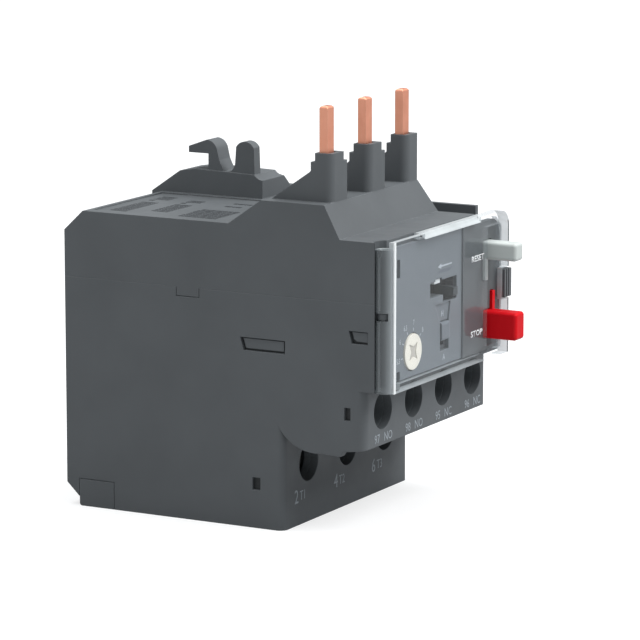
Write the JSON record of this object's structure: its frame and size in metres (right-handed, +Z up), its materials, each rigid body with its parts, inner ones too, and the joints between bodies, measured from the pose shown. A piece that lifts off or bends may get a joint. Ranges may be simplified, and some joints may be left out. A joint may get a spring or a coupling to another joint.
{
  "type": "thermal overload relay",
  "caption": "Plug-in thermal overload relay: moulded block with copper line pins and hook on top, stepped terminal blocks, dial and push buttons under a clear swinging cover.",
  "frame": {"origin": "centre of the outline's footprint, on the flat base", "axes": "+X to the right seen from the front, +Y to the mounting back, +Z up, towards the pins"},
  "size_m": [0.045, 0.0672, 0.0713],
  "materials": {
    "housing": "moulded, fine grain",
    "inner": "moulded, inner frame",
    "fascia": "moulded, fine grain",
    "clear": "clear moulded polycarbonate",
    "steel": "bright",
    "dial": "ivory",
    "white": "natural",
    "red": "signal red",
    "grey": "light grey",
    "knob": "mid grey",
    "carrier": "black",
    "copper": "drawn copper",
    "bimetal": "rolled bimetal",
    "heater": "resistance ribbon",
    "brass": "rolled",
    "clamp": "zinc plated",
    "screw": "zinc plated"
  },
  "bodies": {
    "root": {"lower_housing": "housing", "upper_housing": "housing", "base_cover": "housing", "pole_frame": "inner", "power_terminal_frame": "inner", "control_terminal_frame": "inner", "fascia": "fascia", "cover_latch": "fascia", "cover_hinge_pin": "steel", "stop_spring": "steel", "reset_spring": "steel", "trip_pivot_pin": "steel", "power_screws": "screw", "aux_screws": "screw", "line_pin_1": "copper", "bimetal_1": "bimetal", "heater_winding_1": "heater", "load_strip_1": "copper", "power_clamp_1": "clamp", "line_pin_2": "copper", "bimetal_2": "bimetal", "heater_winding_2": "heater", "load_strip_2": "copper", "power_clamp_2": "clamp", "line_pin_3": "copper", "bimetal_3": "bimetal", "heater_winding_3": "heater", "load_strip_3": "copper", "power_clamp_3": "clamp", "contact_strip_95": "brass", "aux_clamp_95": "clamp", "contact_strip_96": "brass", "aux_clamp_96": "clamp", "contact_strip_97": "brass", "aux_clamp_97": "clamp", "contact_strip_98": "brass", "aux_clamp_98": "clamp"},
    "dial": {"setting_dial": "dial", "dial_cam": "white"},
    "stop": {"stop_button": "red"},
    "reset": {"reset_button": "grey"},
    "cover": {"clear_cover": "clear"},
    "test": {"test_lever": "fascia"},
    "selector": {"reset_selector": "knob"},
    "trip_train": {"trip_slider": "white", "differential_slider": "white", "differential_lever": "white"},
    "lever": {"trip_lever": "white", "compensating_strip": "bimetal"},
    "carrier": {"contact_carrier": "carrier", "nc_bridge": "brass", "no_bridge": "brass", "trip_flag": "white"}
  },
  "joints": [
    {"name": "cover_hinge", "type": "hinge", "parent": "root", "child": "cover", "pos_m": [-0.0209, -0.02685, 0.0374], "axis": [0, 0, -1], "range_deg": [0, 100]},
    {"name": "dial_turn", "type": "hinge", "parent": "root", "child": "dial", "pos_m": [-0.01125, -0.0264, 0.0303], "axis": [0, -1, 0], "range_deg": [-135, 135]},
    {"name": "stop_push", "type": "slide", "parent": "root", "child": "stop", "axis": [0, 1, 0], "range_m": [0, 0.0025], "stiffness_N_per_m": 800, "springref_m": -0.0005, "deforming": ["stop_spring"]},
    {"name": "reset_push", "type": "slide", "parent": "root", "child": "reset", "axis": [0, 1, 0], "range_m": [0, 0.0025], "stiffness_N_per_m": 800, "springref_m": -0.0005, "deforming": ["reset_spring"]},
    {"name": "test_slide", "type": "slide", "parent": "root", "child": "test", "axis": [-1, 0, 0], "range_m": [0, 0.003], "stiffness_N_per_m": 200, "springref_m": -0.0005},
    {"name": "selector_slide", "type": "slide", "parent": "root", "child": "selector", "axis": [0, 0, -1], "range_m": [0, 0.0015]},
    {"name": "trip_slide", "type": "slide", "parent": "root", "child": "trip_train", "axis": [1, 0, 0], "range_m": [0, 0.0012]},
    {"name": "trip_lever_turn", "type": "hinge", "parent": "root", "child": "lever", "pos_m": [0.0172, -0.0064, 0.03125], "axis": [0, 0, -1], "range_deg": [0, 8]},
    {"name": "carrier_slide", "type": "slide", "parent": "root", "child": "carrier", "axis": [0, 1, 0], "range_m": [0, 0.00125]}
  ],
  "couplings": [
    {"joint": "trip_lever_turn", "follows": "trip_slide", "rad_per_m": 113.64},
    {"joint": "carrier_slide", "follows": "trip_slide", "ratio": 1}
  ]
}
